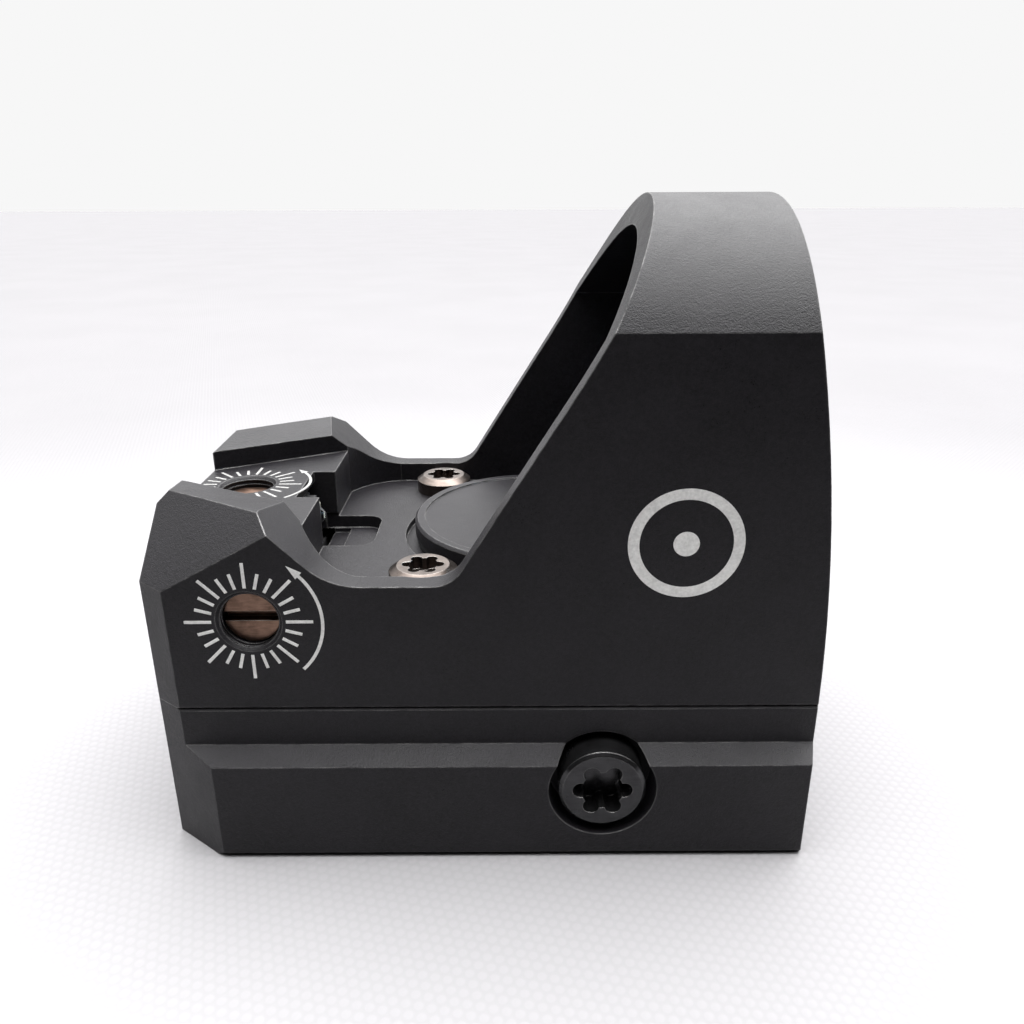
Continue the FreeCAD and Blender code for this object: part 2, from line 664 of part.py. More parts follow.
def make_adjusters():
    wx, wz, ex = SIZES["windage_x"], SIZES["windage_level"], SIZES["elevation_x"]
    node("windage_oring", make_adjuster("windage_screw", "y", wx, -13.5, wz, 2.9, 11.14, 0.85))
    node("elevation_oring", make_adjuster("elevation_screw", "z", ex, 0.0, 21.65, 2.75, 5.23, 0.85))

    carriage = box("carriage_block", (-20.5, -17.5), (-5.6, 5.6), (14.2, 16.4))
    way = box("carriage_way", (-17.6, -17.1), (-5.6, 5.6), (14.7, 15.3))
    seat = rod("spring_cup", "z", ex, 0.0, (14.0, 14.6), 1.75)
    node("elevation_carriage", cut("elevation_carriage", fuse("carriage_solid", [carriage, way]), [seat]))

    foot = box("slide_foot", (-17.4, -14.2), (-4.6, 4.6), (13.9, 15.95))
    way_slot = box("slide_way", (-17.5, -17.0), (-6.0, 6.0), (14.6, 15.4))
    tower = box("slide_tower", (-16.6, -15.0), (-2.3, 2.3), (15.8, 20.2))
    face = box("slide_face", (-15.1, -14.3), (-1.6, 1.6), (15.8, 20.2))
    node("windage_slide", cut("windage_slide", fuse("slide_solid", [foot, tower, face]), [way_slot]))
    node("led_emitter", box("led_emitter", (-14.3, -13.9), (-0.9, 0.9), (18.4, 19.9)))
    node("emitter_dome", fuse("emitter_dome", [
        rod("dome_base", "x", (-13.9, -13.7), 0.0, 19.15, 0.65),
        cone("dome_top", "x", (-13.7, -13.35), 0.0, 19.15, 0.65, 0.25)]))

    spring = doc.addObject("Part::Feature", "elevation_spring")
    spring.Shape = coil(1.35, 0.17, 3.16, 3.2)
    place(spring, ex, 0.0, 11.42 + 0.17)
    node("elevation_spring", spring)
    leaf = fuse("leaf_solid", [box("leaf_base", (-16.8, -14.6), (6.35, 6.6), (13.6, 16.6)),
                               box("leaf_fold", (-16.8, -14.6), (5.0, 6.4), (13.6, 13.75))])
    node("windage_spring", leaf)


def coil(mean, wire, tall, turns):
    """A round-wire compression spring that rises from the local origin along Z."""
    pitch = (tall - 2 * wire) / turns
    helix = Part.makeHelix(pitch, pitch * turns, mean)
    profile = Part.Wire(Part.makeCircle(wire, Vec(mean, 0, 0), Vec(0, 1, 0)))
    return Part.Wire(helix.Edges).makePipeShell([profile], True, True)


# ---------------------------------------------------------- electronics
def make_bottom():
    plate = box("plate_block", (-21.3, -7.5), (-9.9, 9.9), (10.9, 11.4))
    holes = []
    for x in (-20.2, -8.6):
        for y in (-8.9, 8.9):
            holes += [rod("plate_hole", "z", x, y, (10.5, 12.0), 0.7),
                      rod("plate_sink", "z", x, y, (10.5, 11.2), 0.9)]
    node("bottom_plate", cut("bottom_plate", plate, holes))
    ring = box("gasket_block", (-21.3, -7.5), (-9.9, 9.9), (11.4, 11.7))
    inside = box("gasket_inside", (-20.7, -8.1), (-7.9, 7.9), (11.0, 12.0))
    corners = [rod("gasket_hole", "z", x, y, (11.0, 12.0), 0.75) for x in (-20.2, -8.6)
               for y in (-8.9, 8.9)]
    node("bottom_gasket", cut("bottom_gasket", ring, [inside] + corners))
    screws = []
    for x in (-20.2, -8.6):
        for y in (-8.9, 8.9):
            screws.append(fuse("plate_screw", [
                rod("plate_screw_head", "z", x, y, (10.93, 11.19), 0.84),
                rod("plate_screw_shank", "z", x, y, (11.1, 13.4), 0.58)]))
    node("plate_screws", compound("plate_screws", screws))
    board = box("board_block", (-17.0, -8.3), (-7.6, 7.6), (12.0, 12.6))
    node("control_board", board)
    chips = [box("chip_driver", (-14.8, -11.8), (-2.6, 0.4), (12.6, 13.3)),
             box("chip_memory", (-11.0, -9.4), (3.0, 5.2), (12.6, 13.2)),
             box("chip_coil", (-11.6, -9.2), (-6.2, -3.8), (12.6, 13.4))]
    node("board_parts", compound("board_parts", chips))


def make_battery():
    cx, low, high = dim("cap_x"), dim("cell_low"), dim("cell_high")
    can = rod("cell_can", "z", cx, 0.0, (low + 0.3, high), dim("cell_radius"))
    button = rod("cell_cup", "z", cx, 0.0, (low, low + 0.4), 6.9)
    node("battery", fuse("battery", [can, button]))
    strip = box("contact_strip", (-8.2, 3.0), (-1.6, 1.6), (12.4, 12.55))
    pad_disc = rod("contact_pad", "z", cx, 0.0, (12.4, 12.55), 3.4)
    bump = cone("contact_bump", "z", cx, 0.0, (12.5, 12.95), 2.0, 0.8)
    node("contact_spring", fuse("contact_spring", [strip, pad_disc, bump]))
    cap_top, floor = dim("cap_top"), deck - 0.5
    disc = rod("cap_disc", "z", cx, 0.0, (floor + 0.75, cap_top - 0.2), dim("cap_radius"))
    lip = cone("cap_lip", "z", cx, 0.0, (cap_top - 0.2, cap_top), SIZES["cap_radius"],
               SIZES["cap_radius"] - 0.2)
    collar = rod("cap_collar", "z", cx, 0.0, (floor - 0.15, floor + 0.8), 8.45)
    skirt = rod("cap_skirt", "z", cx, 0.0, (high + 0.2, floor + 0.06), 8.85)
    dish = rod("cap_dish", "z", cx, 0.0, (cap_top - 0.12, cap_top + 0.2), dim("cap_radius") - 0.75)
    holes = [rod("spanner_hole", "z", cx, y, (cap_top - 0.9, cap_top + 0.2), 0.8) for y in (-6.0, 6.0)]
    node("battery_cap", cut("battery_cap", fuse("cap_solid", [disc, lip, collar, skirt]),
                            [dish] + holes))
    node("cap_oring", torus("cap_oring", "z", cx, 0.0, floor + 0.4, 8.85, 0.32))


def make_buttons():
    bx, gap, bz = dim("button_x"), dim("button_gap"), dim("button_level")
    mid = bx + gap * 0.5
    rb = dim("button_radius")
    plate = box("keypad_block", (mid - 6.8, mid + 6.8), (12.9, 13.5), (bz - 2.55, bz + 2.55))
    holes = [rod("keypad_hole", "y", x, (12.0, 14.0), bz, rb + 0.1) for x in (bx, bx + gap)]
    node("button_plate", cut("button_plate", plate, holes))
    node("switch_board", box("switch_board", (mid - 6.1, mid + 6.1), (11.2, 11.6),
                             (bz - 2.3, bz + 2.3)))
    domes = [cone("switch_dome", "y", x, (11.6, 11.85), bz, 1.7, 0.9) for x in (bx, bx + gap)]
    node("switch_domes", compound("switch_domes", domes))
    for label, x in (("button_down", bx), ("button_up", bx + gap)):
        stem = rod(label + "_stem", "y", x, (12.6, 13.8), bz, rb)
        crown = cone(label + "_crown", "y", x, (13.8, 14.0), bz, SIZES["button_radius"],
                     SIZES["button_radius"] - 0.2)
        flange = rod(label + "_flange", "y", x, (12.4, 12.85), bz, rb + 0.4)
        nub = rod(label + "_nub", "y", x, (12.3, 12.5), bz, 0.8)
        mark = [box(label + "_bar", (x - 0.9, x + 0.9), (13.9, 14.2), (bz - 0.18, bz + 0.18))]
        if label == "button_up":
            mark.append(box(label + "_post", (x - 0.18, x + 0.18), (13.9, 14.2),
                            (bz - 0.9, bz + 0.9)))
        node(label, cut(label, fuse(label + "_solid", [stem, crown, flange, nub]), mark))


def check_and_write():
    doc.recompute()
    problems = []
    for obj in doc.Objects:
        if "Invalid" in obj.State or "Error" in obj.State:
            problems.append("%s: %s" % (obj.Name, obj.State))
    for label, obj in NODES.items():
        shape = obj.Shape
        if shape.isNull() or not shape.isValid() or not shape.Solids:
            problems.append("%s: bad shape" % label)
    if problems:
        raise ValueError("; ".join(problems))
    os.makedirs("parts", exist_ok=True)
    for label, obj in NODES.items():
        obj.Shape.exportStep("parts/%s.step" % label)
        print("%-20s solids %d  volume %.2f mm3" % (label, len(obj.Shape.Solids), obj.Shape.Volume))


make_mount()
make_clamp()
make_fasteners()
make_housing()
make_lens()
make_adjusters()
make_bottom()
make_battery()
make_buttons()
check_and_write()
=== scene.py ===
"""Finish, markings and stage for a micro reflex sight on a low rail mount.

Run as a script.  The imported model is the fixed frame; every new piece sits in
that frame, in metres: +X towards the target, +Y to the shooter's left, +Z up.
"""
import json
import math

import bmesh
import bpy
from mathutils import Matrix, Vector


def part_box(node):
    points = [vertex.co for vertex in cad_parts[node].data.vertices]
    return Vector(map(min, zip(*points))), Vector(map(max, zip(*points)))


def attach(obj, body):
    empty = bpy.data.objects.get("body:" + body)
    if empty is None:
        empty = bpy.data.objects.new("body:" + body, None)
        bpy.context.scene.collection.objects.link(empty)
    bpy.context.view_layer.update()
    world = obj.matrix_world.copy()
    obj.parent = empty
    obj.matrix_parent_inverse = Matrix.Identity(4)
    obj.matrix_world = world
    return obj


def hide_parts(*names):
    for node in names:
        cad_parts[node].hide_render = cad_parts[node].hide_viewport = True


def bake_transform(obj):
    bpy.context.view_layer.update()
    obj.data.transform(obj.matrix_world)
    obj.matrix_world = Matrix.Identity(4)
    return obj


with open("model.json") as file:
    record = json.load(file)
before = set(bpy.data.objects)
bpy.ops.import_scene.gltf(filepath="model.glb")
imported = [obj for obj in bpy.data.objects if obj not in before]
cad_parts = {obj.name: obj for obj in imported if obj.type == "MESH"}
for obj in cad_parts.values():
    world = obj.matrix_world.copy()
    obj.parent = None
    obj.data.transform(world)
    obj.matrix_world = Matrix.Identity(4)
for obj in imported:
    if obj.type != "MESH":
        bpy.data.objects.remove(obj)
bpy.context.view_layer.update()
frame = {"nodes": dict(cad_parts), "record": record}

bl_info = {
    "name": "Reflex Sight Finish",
    "version": (1, 0, 0),
    "blender": (4, 5, 0),
    "location": "3D View > Sidebar > Sight",
    "description": "Finishes, markings and stage for a micro reflex sight",
    "category": "Object",
}

MM = 0.001
NODES = frame["nodes"]

PLATFORM_LEVEL = 21.65 * MM  # flat top around the elevation screw

# Lens plates: backward lean, cement film between them, and the bevel on their edges.
LENS_LEAN = math.radians(7.4)
CEMENT_FILM = 0.02 * MM
LENS_BEVEL = 0.12 * MM

# Thread rings in the adjuster bores.
THREAD_RADIUS = 1.885 * MM
THREAD_CREST = 0.062 * MM
THREAD_START = 0.28 * MM
THREAD_TURNS = 2

# Dials: ticks around each screw, every third one long, and the arrow's half sweep.
TICKS = 24
LONG_TICK_EVERY = 3
SHORTEST_TICK = 0.25 * MM
REAR_MARGIN = 0.25 * MM
WINDAGE_ARROW = math.radians(47)
ELEVATION_ARROW = math.radians(41)
ARROW_HEAD_GAP = math.radians(4)
ARROW_HEAD_RADIUS = 0.66 * MM

# Emblem on the right side: middle, width of the ring and radius of the dot.
EMBLEM_X = 11.4 * MM
EMBLEM_Z = 22.3 * MM
EMBLEM_RING = 0.7 * MM
EMBLEM_DOT = 0.8 * MM

# Stage: pitch and bearings of the floor's honeycomb, the plain backdrop and the camera.
HONEYCOMB_PITCH = 0.65 * MM
HONEYCOMB_BEARINGS = (18, 78, 138)
BACKDROP = 0.93
CAMERA_PLACE = (0.8 * MM, -60.85 * MM, 42.33 * MM)
CAMERA_LENS = 29.95
CAMERA_LOOKS_DOWN = 20.716
CAMERA_TURN = -0.09
CAMERA_ROLL = -0.23


def slot_of_node(node):
    """Name of the material slot that the record gives a node."""
    for part in frame["record"]["subparts"]:
        if part["node"] == node:
            return part["material_slot"]
    raise ValueError("no slot for " + node)


def middle(node):
    """Centre of a node's box."""
    low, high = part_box(node)
    return (low + high) / 2


# ------------------------------------------------------------ sizes and colours
class SightSizes(bpy.types.PropertyGroup):
    """Sizes of the markings, the broken edges and the adjuster threads."""

    edge_break: bpy.props.FloatProperty(
        name="Edge break", description="Width of the broken edges on machined parts",
        default=0.16 * MM, unit="LENGTH", precision=5)
    tick_inner: bpy.props.FloatProperty(
        name="Tick inner radius", description="Where the dial ticks start",
        default=2.33 * MM, unit="LENGTH", precision=5)
    tick_short: bpy.props.FloatProperty(
        name="Short tick radius", description="Where the short dial ticks end",
        default=3.40 * MM, unit="LENGTH", precision=5)
    tick_long: bpy.props.FloatProperty(
        name="Long tick radius", description="Where the long dial ticks end",
        default=4.04 * MM, unit="LENGTH", precision=5)
    tick_width: bpy.props.FloatProperty(
        name="Tick width", description="Width of a dial tick",
        default=0.21 * MM, unit="LENGTH", precision=5)
    arrow_radius: bpy.props.FloatProperty(
        name="Arrow radius", description="Radius of the turning arrow beside a dial",
        default=4.62 * MM, unit="LENGTH", precision=5)
    mark_lift: bpy.props.FloatProperty(
        name="Mark lift", description="How far the filled markings stand proud",
        default=0.012 * MM, unit="LENGTH", precision=6)
    emblem_radius: bpy.props.FloatProperty(
        name="Emblem radius", description="Outer radius of the ring on the right side",
        default=3.55 * MM, unit="LENGTH", precision=5)
    thread_pitch: bpy.props.FloatProperty(
        name="Thread pitch", description="Pitch of the adjuster threads",
        default=0.35 * MM, unit="LENGTH", precision=5)


class SightColours(bpy.types.PropertyGroup):
    """Base colours of the finishes."""

    anodise: bpy.props.FloatVectorProperty(
        name="Anodised black", description="Blasted and anodised housing",
        default=(0.0095, 0.0088, 0.0104), subtype="COLOR", size=3, min=0, max=1)
    anodise_worn: bpy.props.FloatVectorProperty(
        name="Edge colour", description="Bare metal where edges are rubbed",
        default=(0.36, 0.355, 0.35), subtype="COLOR", size=3, min=0, max=1)
    engraving: bpy.props.FloatVectorProperty(
        name="Marking fill", description="Laser marked lines",
        default=(0.64, 0.635, 0.62), subtype="COLOR", size=3, min=0, max=1)
    # Darker than the bronze itself: partly its own dull colour, partly painted shade standing in for
    # the deeper recesses the adjusters sit in.
    bronze: bpy.props.FloatVectorProperty(
        name="Adjuster bronze", description="Bronze adjusting screws darkened with painted shade",
        default=(0.20, 0.125, 0.092), subtype="COLOR", size=3, min=0, max=1)
    screw: bpy.props.FloatVectorProperty(
        name="Deck screws", description="Worn plated steel",
        default=(0.135, 0.112, 0.100), subtype="COLOR", size=3, min=0, max=1)
    floor: bpy.props.FloatVectorProperty(
        name="Floor", description="Pale table under the sight",
        default=(0.266, 0.262, 0.269), subtype="COLOR", size=3, min=0, max=1)


def sizes():
    return bpy.context.scene.sight_sizes


def colours():
    return bpy.context.scene.sight_colours


# ------------------------------------------------------------ node tree helpers
def new_group(name, inputs, outputs):
    """An empty shader group with float inputs {name: default} and named outputs."""
    tree = bpy.data.node_groups.new(name, "ShaderNodeTree")
    for label, default in inputs.items():
        socket = tree.interface.new_socket(name=label, in_out="INPUT",
                                           socket_type="NodeSocketFloat")
        socket.default_value = default
    for label, kind in outputs.items():
        tree.interface.new_socket(name=label, in_out="OUTPUT", socket_type=kind)
    entry = tree.nodes.new("NodeGroupInput")
    leave = tree.nodes.new("NodeGroupOutput")
    entry.location, leave.location = (-900, 0), (700, 0)
    return tree, entry.outputs, leave.inputs


def add(tree, kind, **settings):
    """A node with attributes set by name and sockets set by index or label."""
    made = tree.nodes.new(kind)
    for key, value in settings.pop("sockets", {}).items():
        made.inputs[key].default_value = value
    for key, value in settings.items():
        setattr(made, key, value)
    return made


def maths(tree, operation, a, b=None, clamp=False):
    """One Math node; a and b are numbers or sockets.  Returns its output."""
    made = add(tree, "ShaderNodeMath", operation=operation, use_clamp=clamp)
    for socket, value in zip(made.inputs, (a, b)):
        if value is None:
            continue
        if isinstance(value, (int, float)):
            socket.default_value = value
        else:
            tree.links.new(value, socket)
    return made.outputs[0]


def weighted(tree, a, share_a, b, share_b):
    """Two values added, each times its share."""
    return maths(tree, "ADD", maths(tree, "MULTIPLY", a, share_a), maths(tree, "MULTIPLY", b, share_b))


def remap(tree, value, low, high, to_low=0.0, to_high=1.0, smooth=False):
    """Map Range from low..high to to_low..to_high, clamped."""
    made = add(tree, "ShaderNodeMapRange", clamp=True,
               interpolation_type="SMOOTHSTEP" if smooth else "LINEAR")
    tree.links.new(value, made.inputs[0])
    for socket, given in zip(made.inputs[1:5], (low, high, to_low, to_high)):
        if isinstance(given, (int, float)):
            socket.default_value = given
        else:
            tree.links.new(given, socket)
    return made.outputs[0]


def mix_colour(tree, factor, a, b):
    """Mix node on colours; factor, a and b are values or sockets."""
    made = add(tree, "ShaderNodeMix", data_type="RGBA", blend_type="MIX")
    for index, value in ((0, factor), (6, a), (7, b)):
        if hasattr(value, "is_linked"):
            tree.links.new(value, made.inputs[index])
        elif isinstance(value, (int, float)):
            made.inputs[index].default_value = value
        else:
            made.inputs[index].default_value = (*value, 1.0)
    return made.outputs[2]


def noise(tree, scale, detail=3.0, rough=0.55, vector=None, distort=0.0):
    """Noise on Object coordinates; scale is a number or a socket."""
    made = add(tree, "ShaderNodeTexNoise",
               sockets={"Detail": detail, "Roughness": rough, "Distortion": distort})
    if isinstance(scale, (int, float)):
        made.inputs["Scale"].default_value = scale
    else:
        tree.links.new(scale, made.inputs["Scale"])
    tree.links.new(vector or place_of(tree), made.inputs["Vector"])
    return made.outputs["Fac"]


def place_of(tree):
    """Object coordinates."""
    return add(tree, "ShaderNodeTexCoord").outputs["Object"]


# ------------------------------------------------------------- shared effects
def build_effects():
    """Builds each shared effect once and returns the groups by their short names."""
    effects = {}

    tree, given, out = new_group(
        "Blasted Grain", {"Scale": 4200.0, "Contrast": 0.5, "Patches": 220.0},
        {"Shade": "NodeSocketFloat", "Height": "NodeSocketFloat"})
    fine = noise(tree, given["Scale"], 2.0, 0.65)
    coarse = noise(tree, maths(tree, "MULTIPLY", given["Scale"], 0.36), 2.0, 0.5)
    both = weighted(tree, fine, 0.62, coarse, 0.38)
    patch = noise(tree, given["Patches"], 3.0, 0.5)
    uneven = maths(tree, "MULTIPLY", maths(tree, "SUBTRACT", patch, 0.5), 0.22)
    lifted = maths(tree, "ADD", both, uneven)
    spread = maths(tree, "MULTIPLY", maths(tree, "SUBTRACT", lifted, 0.5), given["Contrast"])
    tree.links.new(maths(tree, "ADD", spread, 0.5, clamp=True), out["Shade"])
    tree.links.new(both, out["Height"])
    effects["grain"] = tree

    tree, given, out = new_group(
        "Edge Rub", {"Reach": 0.16 * MM, "Amount": 0.6, "Breakup": 900.0},
        {"Mask": "NodeSocketFloat", "Normal": "NodeSocketVector"})
    bevel = add(tree, "ShaderNodeBevel", samples=6)
    tree.links.new(given["Reach"], bevel.inputs["Radius"])
    flat = add(tree, "ShaderNodeNewGeometry").outputs["Normal"]
    dot = add(tree, "ShaderNodeVectorMath", operation="DOT_PRODUCT")
    tree.links.new(bevel.outputs[0], dot.inputs[0])
    tree.links.new(flat, dot.inputs[1])
    bend = maths(tree, "SUBTRACT", 1.0, dot.outputs["Value"])
    edge = remap(tree, bend, 0.015, 0.14)
    broken = remap(tree, noise(tree, given["Breakup"], 4.0, 0.6), 0.38, 0.62, 0.25, 1.0)
    worn = maths(tree, "MULTIPLY", maths(tree, "MULTIPLY", edge, broken), given["Amount"], clamp=True)
    tree.links.new(worn, out["Mask"])
    tree.links.new(bevel.outputs[0], out["Normal"])
    effects["edge"] = tree

    tree, given, out = new_group(
        "Dust Specks", {"Cells": 330.0, "Share": 0.10, "Size": 0.035},
        {"Mask": "NodeSocketFloat"})
    cells = add(tree, "ShaderNodeTexVoronoi", feature="F1")
    tree.links.new(place_of(tree), cells.inputs["Vector"])
    tree.links.new(given["Cells"], cells.inputs["Scale"])
    pick = add(tree, "ShaderNodeSeparateColor")
    tree.links.new(cells.outputs["Color"], pick.inputs[0])
    chosen = maths(tree, "LESS_THAN", pick.outputs[0], given["Share"])
    reach = maths(tree, "MULTIPLY", given["Size"], maths(tree, "ADD", pick.outputs[1], 0.4))
    near = maths(tree, "LESS_THAN", cells.outputs["Distance"], reach)
    fibre = noise(tree, 2600.0, 2.0, 0.5)
    soft = remap(tree, fibre, 0.35, 0.55)
    tree.links.new(maths(tree, "MULTIPLY", maths(tree, "MULTIPLY", chosen, near), soft), out["Mask"])
    effects["dust"] = tree

    tree, given, out = new_group(
        "Handled Sheen", {"Scale": 90.0, "Low": 0.40, "High": 0.55},
        {"Value": "NodeSocketFloat"})
    smear = noise(tree, given["Scale"], 5.0, 0.6, distort=0.6)
    spots = noise(tree, maths(tree, "MULTIPLY", given["Scale"], 7.0), 2.0, 0.5)
    blend = weighted(tree, smear, 0.7, spots, 0.3)
    tree.links.new(remap(tree, blend, 0.36, 0.64, given["Low"], given["High"]), out["Value"])
    effects["sheen"] = tree

    tree, given, out = new_group(
        "Tool Marks", {"Along X": 1.0, "Along Y": 1.0, "Along Z": 1.0, "Scale": 900.0},
        {"Value": "NodeSocketFloat"})
    stretch = add(tree, "ShaderNodeCombineXYZ")
    for label, socket in zip(("Along X", "Along Y", "Along Z"), stretch.inputs):
        tree.links.new(given[label], socket)
    scaled = add(tree, "ShaderNodeVectorMath", operation="MULTIPLY")
    tree.links.new(place_of(tree), scaled.inputs[0])
    tree.links.new(stretch.outputs[0], scaled.inputs[1])
    tree.links.new(noise(tree, given["Scale"], 3.0, 0.6, vector=scaled.outputs[0]), out["Value"])
    effects["marks"] = tree
    return effects


EFFECTS = {}


def use(tree, effect, **values):
    """Places a shared effect in a material with its own values."""
    made = tree.nodes.new("ShaderNodeGroup")
    made.node_tree = EFFECTS[effect]
    for label, value in values.items():
        made.inputs[label.replace("_", " ")].default_value = value
    return made.outputs


def new_material(name, **sockets):
    """A node material with a Principled BSDF whose plain sockets are given."""
    made = bpy.data.materials.new(name)
    made.use_nodes = True
    tree = made.node_tree
    shader = tree.nodes["Principled BSDF"]
    for label, value in sockets.items():
        shader.inputs[label.replace("_", " ")].default_value = value
    return made, tree, shader.inputs


def bump(tree, height, strength, distance, normal=None):
    """Bump node; returns its normal."""
    made = add(tree, "ShaderNodeBump", sockets={"Strength": strength, "Distance": distance})
    tree.links.new(height, made.inputs["Height"])
    if normal is not None:
        tree.links.new(normal, made.inputs["Normal"])
    return made.outputs[0]


# ------------------------------------------------------------------- finishes
def blasted_metal(name, base, low, high, grain=12000.0, wear=0.55, dust=0.10, lift=0.062):
    """Bead blasted, anodised aluminium with rubbed edges and a little dust."""
    made, tree, shader = new_material(name, Metallic=0.0, IOR=1.285)
    shade = use(tree, "grain", Scale=grain, Contrast=2.2)
    edge = use(tree, "edge", Reach=sizes().edge_break, Amount=wear)
    specks = use(tree, "dust", Share=dust)
    pores = mix_colour(tree, shade["Shade"], [c * 0.30 for c in base], [c * 1.75 for c in base])
    rubbed = mix_colour(tree, edge["Mask"], pores, colours().anodise_worn)
    dusty = mix_colour(tree, specks["Mask"], rubbed, (0.75, 0.74, 0.72))
    tree.links.new(dusty, shader["Base Color"])
    sheen = use(tree, "sheen", Low=low, High=high)
    speckle = maths(tree, "MULTIPLY", maths(tree, "SUBTRACT", shade["Shade"], 0.5), 0.22)
    rough = maths(tree, "ADD", sheen["Value"], speckle)
    worn_rough = maths(tree, "SUBTRACT", rough, maths(tree, "MULTIPLY", edge["Mask"], 0.12), clamp=True)
    tree.links.new(worn_rough, shader["Roughness"])
    tree.links.new(maths(tree, "MULTIPLY", edge["Mask"], 0.7), shader["Metallic"])
    tree.links.new(bump(tree, shade["Height"], 0.85, lift * MM, edge["Normal"]), shader["Normal"])
    return made


def plated_steel(name, base, low, high, wear=0.5, dark=0.55, metallic=1.0):
    """Turned and plated steel: fine tool marks, stains and rubbed edges."""
    made, tree, shader = new_material(name, Metallic=metallic)
    marks = use(tree, "marks", Along_X=1.0, Along_Y=1.0, Along_Z=6.0, Scale=1400.0)
    stain = noise(tree, 650.0, 4.0, 0.6)
    edge = use(tree, "edge", Reach=0.10 * MM, Amount=wear)
    tint = mix_colour(tree, remap(tree, stain, 0.35, 0.68), [c * dark for c in base], base)
    lined = mix_colour(tree, remap(tree, marks["Value"], 0.4, 0.75, 0.0, 0.45), tint,
                       [min(1.0, c * 1.35) for c in base])
    tree.links.new(mix_colour(tree, edge["Mask"], lined, (0.72, 0.70, 0.67)), shader["Base Color"])
    sheen = use(tree, "sheen", Scale=240.0, Low=low, High=high)
    tree.links.new(sheen["Value"], shader["Roughness"])
    tree.links.new(bump(tree, marks["Value"], 0.25, 0.006 * MM, edge["Normal"]), shader["Normal"])
    return made


def moulded(name, base, low, high, grain=2600.0, spread=0.8):
    """Moulded rubber, plastic or ceramic with a fine skin texture."""
    made, tree, shader = new_material(name, Metallic=0.0)
    shade = use(tree, "grain", Scale=grain, Contrast=spread)
    edge = use(tree, "edge", Reach=0.08 * MM, Amount=0.25)
    skin = mix_colour(tree, shade["Shade"], [c * 0.6 for c in base], [min(1, c * 1.4) for c in base])
    pale = [min(1.0, c * 2.2 + 0.02) for c in base]
    tree.links.new(mix_colour(tree, edge["Mask"], skin, pale), shader["Base Color"])
    sheen = use(tree, "sheen", Scale=160.0, Low=low, High=high)
    tree.links.new(sheen["Value"], shader["Roughness"])
    tree.links.new(bump(tree, shade["Height"], 0.4, 0.01 * MM, edge["Normal"]), shader["Normal"])
    return made


def marking_fill(name, strength=1.0):
    """Laser marked lines: pale, matte and slightly mottled."""
    made, tree, shader = new_material(name)
    shade = use(tree, "grain", Scale=5200.0, Contrast=1.6)
    # A strength below 1 makes a darker copy of the fill: painted shade for marks that face the strong
    # top light.
    base = [c * strength for c in colours().engraving]
    tree.links.new(mix_colour(tree, shade["Shade"], [c * 0.68 for c in base], [c * 1.25 for c in base]),
                   shader["Base Color"])
    sheen = use(tree, "sheen", Scale=500.0, Low=0.55, High=0.75)
    tree.links.new(sheen["Value"], shader["Roughness"])
    tree.links.new(bump(tree, shade["Height"], 0.4, 0.008 * MM), shader["Normal"])
    return made


def coated_glass(name, tint):
    """Optical glass with a faint film of dust and a coating sheen."""
    made, tree, shader = new_material(
        name, Metallic=0.0, IOR=1.52, Transmission_Weight=1.0, Coat_IOR=1.8)
    film = use(tree, "sheen", Scale=120.0, Low=0.0, High=0.035)
    specks = use(tree, "dust", Cells=420.0, Share=0.06, Size=0.03)
    tree.links.new(mix_colour(tree, specks["Mask"], tint, (0.9, 0.9, 0.88)), shader["Base Color"])
    tree.links.new(maths(tree, "ADD", film["Value"], maths(tree, "MULTIPLY", specks["Mask"], 0.6)),
                   shader["Roughness"])
    shader["Coat Weight"].default_value = 0.35
    shader["Coat Tint"].default_value = (0.75, 0.86, 1.0, 1.0)
    return made


def board_finish(name):
    """Printed circuit board: solder mask over copper tracks and tinned pads."""
    made, tree, shader = new_material(name)
    cells = add(tree, "ShaderNodeTexVoronoi", feature="F1", distance="CHEBYCHEV",
                sockets={"Scale": 900.0, "Randomness": 0.25})
    tree.links.new(place_of(tree), cells.inputs["Vector"])
    tracks = add(tree, "ShaderNodeTexVoronoi", feature="DISTANCE_TO_EDGE", sockets={"Scale": 520.0})
    tree.links.new(place_of(tree), tracks.inputs["Vector"])
    pad = remap(tree, cells.outputs["Distance"], 0.20, 0.16)
    line = remap(tree, tracks.outputs["Distance"], 0.07, 0.05)
    mask = mix_colour(tree, line, (0.012, 0.075, 0.035), (0.030, 0.17, 0.075))
    tree.links.new(mix_colour(tree, pad, mask, (0.62, 0.60, 0.52)), shader["Base Color"])
    tree.links.new(pad, shader["Metallic"])
    sheen = use(tree, "sheen", Scale=300.0, Low=0.22, High=0.36)
    tree.links.new(sheen["Value"], shader["Roughness"])
    tree.links.new(bump(tree, maths(tree, "ADD", pad, line), 0.5, 0.02 * MM), shader["Normal"])
    return made


def honeycomb(tree):
    """Three cosine waves, 60 degrees apart in plan, added up."""
    waves = []
    for turn in HONEYCOMB_BEARINGS:
        bearing = math.radians(turn)
        along = add(tree, "ShaderNodeVectorMath", operation="DOT_PRODUCT")
        tree.links.new(place_of(tree), along.inputs[0])
        along.inputs[1].default_value = (math.cos(bearing), math.sin(bearing), 0.0)
        phase = maths(tree, "MULTIPLY", along.outputs["Value"], 2 * math.pi / HONEYCOMB_PITCH)
        waves.append(maths(tree, "COSINE", phase))
    return maths(tree, "ADD", maths(tree, "ADD", waves[0], waves[1]), waves[2])


